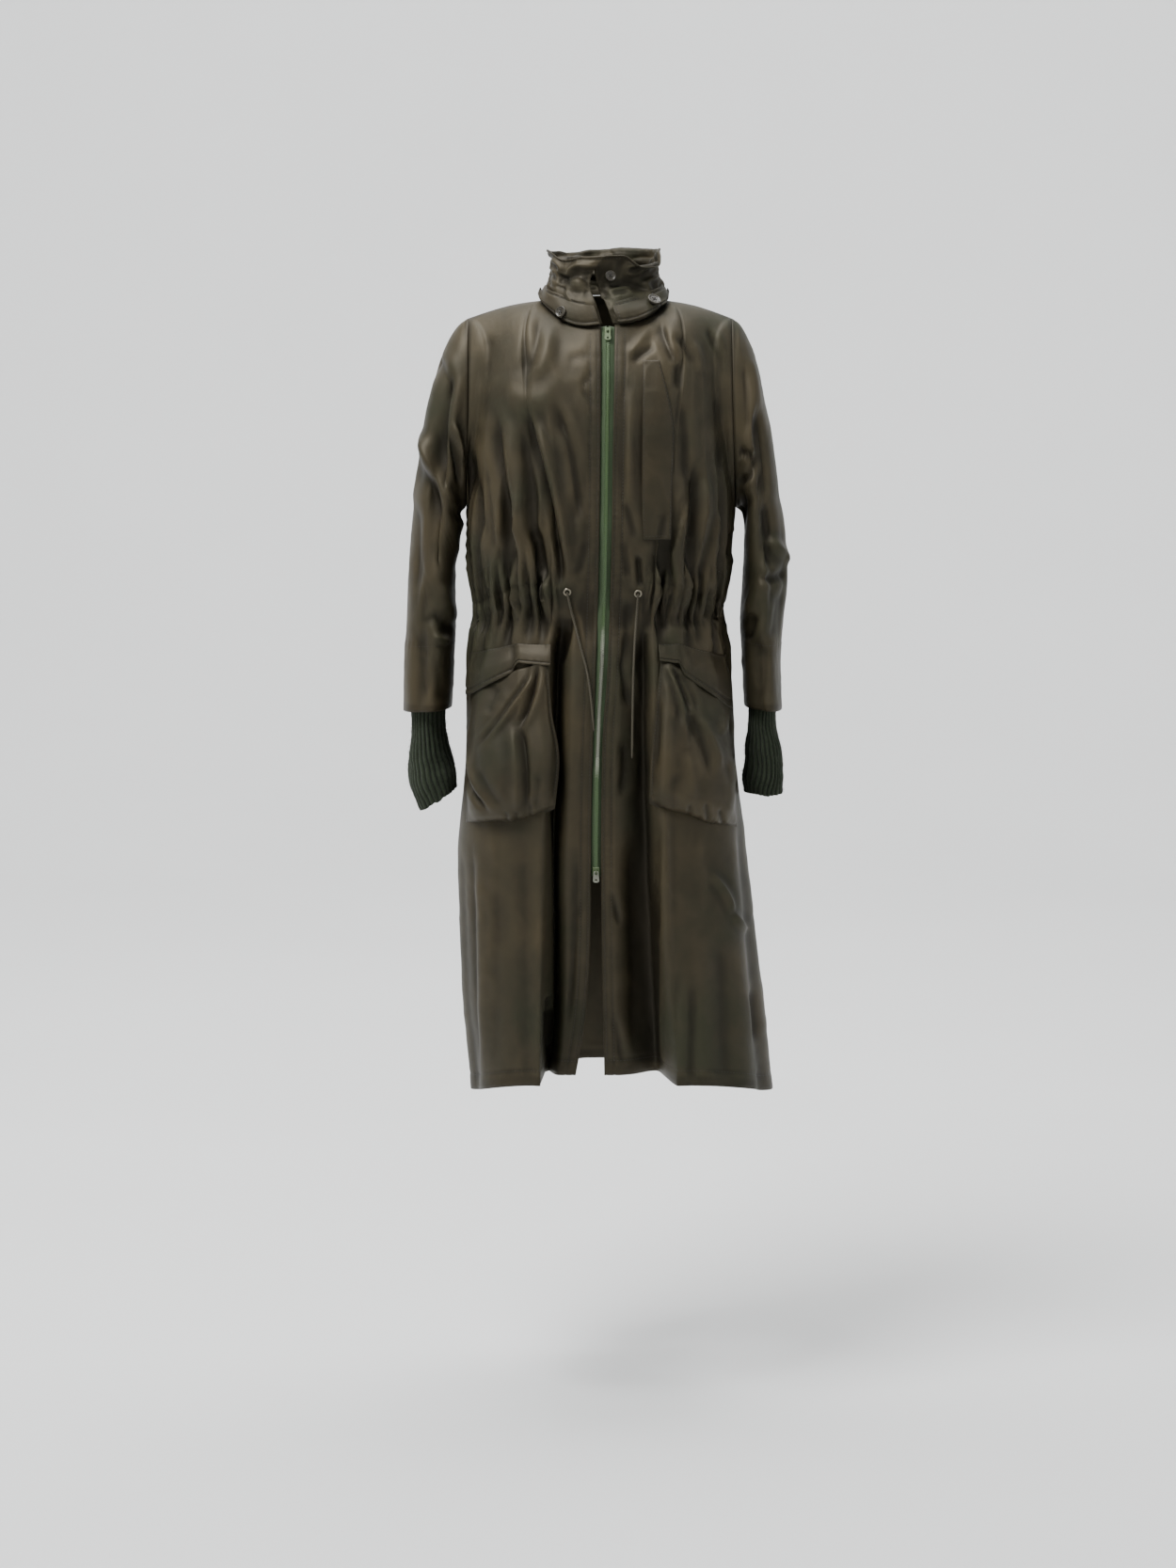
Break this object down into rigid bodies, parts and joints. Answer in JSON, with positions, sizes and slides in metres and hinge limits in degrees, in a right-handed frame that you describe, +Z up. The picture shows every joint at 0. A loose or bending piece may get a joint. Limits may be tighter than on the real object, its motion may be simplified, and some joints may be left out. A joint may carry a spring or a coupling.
{
  "type": "packable parka",
  "caption": "Long light raincoat with stand collar, gathered waist, bellows pockets, two-way zip and knit cuffs, hollow as worn.",
  "frame": {"origin": "middle of the neck's base, between the shoulder seams, where the wearer holds the coat up", "axes": "+Z up along the wearer's spine; the wearer faces -Y; +X is the wearer's left"},
  "size_m": [0.5167, 0.3254, 1.1305],
  "materials": {
    "coated_cloth": "satin",
    "knit_wool": "matte",
    "zip_tape_cloth": "matte",
    "zip_metal": "satin",
    "painted_metal": "satin",
    "button_resin": "semi gloss",
    "eyelet_metal": "dull",
    "cord_cloth": "matte"
  },
  "bodies": {
    "coat": {"back": "coated_cloth", "front_left": "coated_cloth", "front_right": "coated_cloth", "sleeve_left": "coated_cloth", "sleeve_right": "coated_cloth", "knit_cuff_left": "knit_wool", "knit_cuff_right": "knit_wool", "collar": "coated_cloth", "collar_tab_left": "coated_cloth", "collar_tab_right": "coated_cloth", "pocket_left": "coated_cloth", "pocket_right": "coated_cloth", "pocket_flap_left": "coated_cloth", "pocket_flap_right": "coated_cloth", "chest_pocket": "coated_cloth", "zip_tape_left": "zip_tape_cloth", "zip_tape_right": "zip_tape_cloth", "zip_chain": "zip_metal", "zip_slider_top": "painted_metal", "zip_slider_bottom": "painted_metal", "eyelet_left": "eyelet_metal", "eyelet_right": "eyelet_metal", "drawcord_left": "cord_cloth", "drawcord_right": "cord_cloth", "button_left": "button_resin", "button_right": "button_resin", "button_inner": "button_resin"},
    "pull_top": {"zip_pull_top": "painted_metal"},
    "pull_bottom": {"zip_pull_bottom": "painted_metal"}
  },
  "joints": [
    {"name": "pull_top_swing", "type": "hinge", "parent": "coat", "child": "pull_top", "pos_m": [0.00473, -0.09195, -0.02814], "axis": [-1, 0, 0], "range_deg": [0, 160]},
    {"name": "pull_bottom_swing", "type": "hinge", "parent": "coat", "child": "pull_bottom", "pos_m": [-0.01041, -0.13706, -0.7348], "axis": [-1, 0, 0], "range_deg": [0, 160]}
  ]
}
